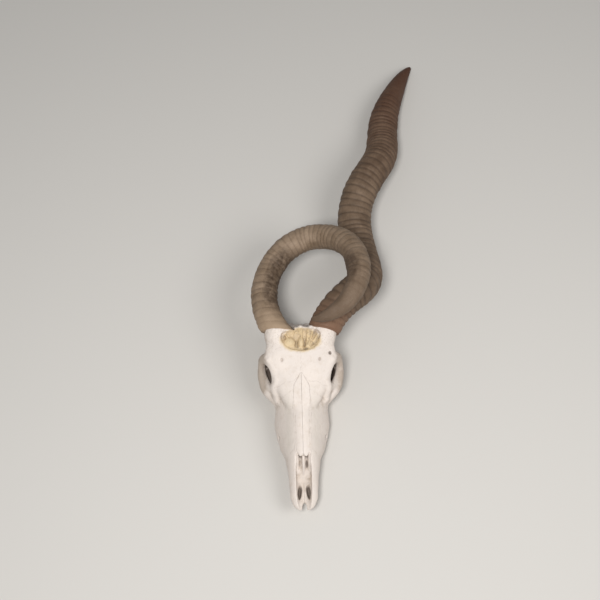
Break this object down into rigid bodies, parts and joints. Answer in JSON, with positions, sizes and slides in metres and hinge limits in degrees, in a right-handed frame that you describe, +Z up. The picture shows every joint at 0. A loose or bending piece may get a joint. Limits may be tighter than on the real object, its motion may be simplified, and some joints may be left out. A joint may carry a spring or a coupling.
{
  "type": "addax skull",
  "caption": "Still, life-size addax skull without its lower jaw, one horn a long open spiral and the other grown into a ring, lying on the floor.",
  "frame": {"origin": "on the floor, under the middle of the whole part's bounding box", "axes": "+Z up from the floor; +Y towards the horn tips, with the muzzle towards -Y; +X towards the animal's left"},
  "size_m": [0.29, 0.8742, 0.193],
  "materials": {
    "bleached_bone": "matt, dry, sun-bleached bone, slightly porous",
    "tooth_enamel": "worn, slightly glossy cream enamel",
    "spiral_horn": "dull dark brown horn sheath with growth ridges",
    "ring_horn": "dull weathered grey-brown horn sheath"
  },
  "bodies": {
    "root": {"cranium": "bleached_bone", "nasal_left": "bleached_bone", "nasal_right": "bleached_bone", "premaxilla_left": "bleached_bone", "premaxilla_right": "bleached_bone", "horn_left": "spiral_horn", "horn_right": "ring_horn"}
  },
  "joints": []
}
